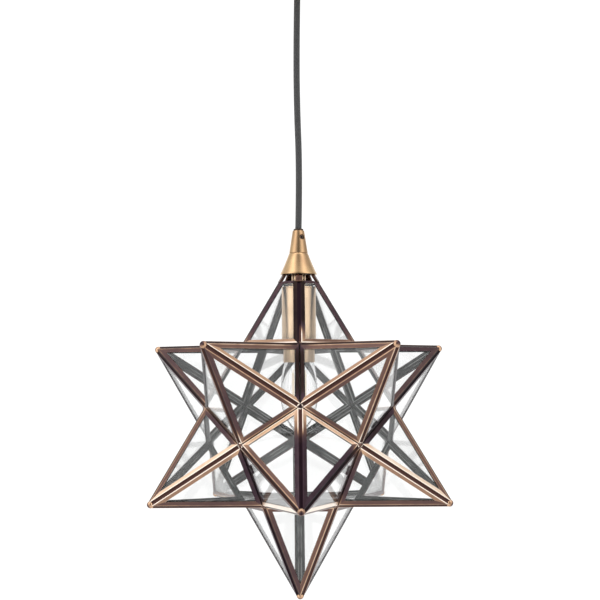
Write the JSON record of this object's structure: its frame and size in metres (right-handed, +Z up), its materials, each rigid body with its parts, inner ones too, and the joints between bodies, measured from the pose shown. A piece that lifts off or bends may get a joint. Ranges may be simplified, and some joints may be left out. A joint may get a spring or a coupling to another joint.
{
  "type": "moravian star pendant light",
  "caption": "Leaded clear glass star pendant with hollow spikes, a hinged door spike, a brass cone, lamp holder, clear bulb, textile cord and ceiling canopy.",
  "frame": {"origin": "on the ceiling plane, at the middle of the canopy", "axes": "+Z up, -Y towards the viewer of the picture, +X to the viewer's right; the door opens at +Y"},
  "size_m": [0.2736, 0.2872, 0.6276],
  "materials": {
    "antique_copper_came": "antique copper with rubbed edges",
    "solder_bead": "copper-plated solder, satin",
    "hinge_copper": "antique copper",
    "antique_brass": "brushed antique brass, satin",
    "dark_bronze": "dark bronze",
    "zinc_steel": "zinc plated",
    "terminal_plastic": "moulded",
    "cord_textile": "woven dark grey textile sleeve",
    "holder_ceramic": "glazed ceramic",
    "nickel_brass": "nickel plated",
    "black_glass": "black glass",
    "clear_glass": "clear, polished, faint grey tint",
    "bulb_clear_glass": "clear, thin",
    "filament_cream": "coated filament sticks"
  },
  "bodies": {
    "pendant": {"bottom_frame": "antique_copper_came", "bottom_panes": "clear_glass", "canopy_cup": "antique_brass", "canopy_screws": "antique_brass", "ceiling_bracket": "zinc_steel", "cone_set_screw": "dark_bronze", "cord_ferrule": "dark_bronze", "cord_grip": "antique_brass", "cord_lower_tail": "cord_textile", "cord_upper_tail": "cord_textile", "front_left_upper_frame": "antique_copper_came", "front_left_upper_panes": "clear_glass", "front_lower_frame": "antique_copper_came", "front_lower_panes": "clear_glass", "front_right_upper_frame": "antique_copper_came", "front_right_upper_panes": "clear_glass", "grip_nut": "zinc_steel", "hinge_frame_knuckles": "hinge_copper", "hinge_pin": "hinge_copper", "holder_body": "holder_ceramic", "holder_cap": "antique_brass", "holder_contact": "nickel_brass", "holder_lock_nut": "zinc_steel", "holder_shell": "nickel_brass", "holder_sleeve": "antique_brass", "holder_terminals": "nickel_brass", "left_lower_frame": "antique_copper_came", "left_lower_panes": "clear_glass", "left_upper_frame": "antique_copper_came", "left_upper_panes": "clear_glass", "lower_cone": "antique_brass", "rear_left_lower_frame": "antique_copper_came", "rear_left_lower_panes": "clear_glass", "rear_right_lower_frame": "antique_copper_came", "rear_right_lower_panes": "clear_glass", "right_lower_frame": "antique_copper_came", "right_lower_panes": "clear_glass", "right_upper_frame": "antique_copper_came", "right_upper_panes": "clear_glass", "spacer_tubes": "antique_brass", "star_disc": "dark_bronze", "suspension_cord": "cord_textile", "terminal_block": "terminal_plastic", "threaded_nipple": "antique_brass", "tip_beads": "solder_bead", "top_frame": "antique_copper_came", "top_legs": "antique_copper_came", "top_panes": "clear_glass", "upper_cone": "antique_brass"},
    "door": {"door_frame": "antique_copper_came", "door_panes": "clear_glass", "hinge_door_knuckles": "hinge_copper"},
    "bulb": {"bulb_cap": "nickel_brass", "bulb_contact": "nickel_brass", "bulb_filaments": "filament_cream", "bulb_glass": "bulb_clear_glass", "bulb_insulator": "black_glass", "bulb_stem": "bulb_clear_glass"}
  },
  "joints": [
    {"name": "door_hinge", "type": "hinge", "parent": "pendant", "child": "door", "pos_m": [0, 0.04666, -0.3921], "axis": [1, 0, 0], "range_deg": [0, 100]},
    {"name": "bulb_unscrew", "type": "hinge", "parent": "pendant", "child": "bulb", "pos_m": [0, 0, -0.39], "axis": [0, 0, -1], "range_deg": [0, 1080]}
  ]
}
